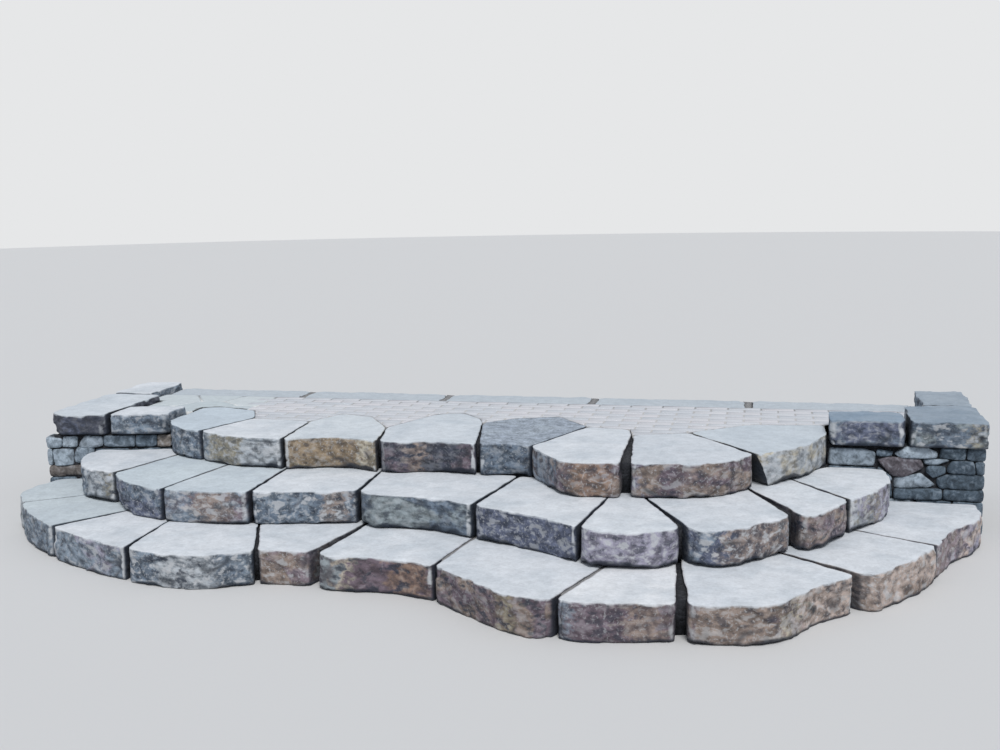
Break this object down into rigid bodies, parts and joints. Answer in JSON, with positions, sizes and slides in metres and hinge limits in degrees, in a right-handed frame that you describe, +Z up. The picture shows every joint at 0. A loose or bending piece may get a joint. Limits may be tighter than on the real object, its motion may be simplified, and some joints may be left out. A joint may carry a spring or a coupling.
{
  "type": "outdoor stone steps",
  "caption": "Curved garden steps of rock-faced stone slabs that climb to a paved landing, held by low dry-stack walls under thick cap stones.",
  "frame": {"origin": "on the ground, under the middle of the landing's front", "axes": "+X to the right of someone who walks up, along the landing; +Y up the steps, into the landing; +Z up"},
  "size_m": [5.095, 2.6825, 0.585],
  "materials": {
    "step_stone": "natural cleft tops and rock-split faces",
    "cap_stone": "natural cleft tops and rock-split faces",
    "dry_stack_rubble": "split field stone, laid dry",
    "gravel_fill": "packed crushed stone",
    "landing_pavers": "tumbled pavers and flagstones"
  },
  "bodies": {
    "root": {"back_caps": "cap_stone", "back_wall": "dry_stack_rubble", "bottom_stone_1": "step_stone", "bottom_stone_10": "step_stone", "bottom_stone_11": "step_stone", "bottom_stone_2": "step_stone", "bottom_stone_3": "step_stone", "bottom_stone_4": "step_stone", "bottom_stone_5": "step_stone", "bottom_stone_6": "step_stone", "bottom_stone_7": "step_stone", "bottom_stone_8": "step_stone", "bottom_stone_9": "step_stone", "landing_paving": "landing_pavers", "left_cap_1": "cap_stone", "left_cap_2": "cap_stone", "left_cap_3": "cap_stone", "left_side_wall": "dry_stack_rubble", "left_wall": "dry_stack_rubble", "lower_fill": "gravel_fill", "middle_fill": "gravel_fill", "middle_stone_1": "step_stone", "middle_stone_10": "step_stone", "middle_stone_2": "step_stone", "middle_stone_3": "step_stone", "middle_stone_4": "step_stone", "middle_stone_5": "step_stone", "middle_stone_6": "step_stone", "middle_stone_7": "step_stone", "middle_stone_8": "step_stone", "middle_stone_9": "step_stone", "right_cap_1": "cap_stone", "right_cap_2": "cap_stone", "right_cap_3": "cap_stone", "right_side_wall": "dry_stack_rubble", "right_wall": "dry_stack_rubble", "top_stone_1": "step_stone", "top_stone_2": "step_stone", "top_stone_3": "step_stone", "top_stone_4": "step_stone", "top_stone_5": "step_stone", "top_stone_6": "step_stone", "top_stone_7": "step_stone", "top_stone_8": "step_stone", "upper_fill": "gravel_fill"}
  },
  "joints": []
}
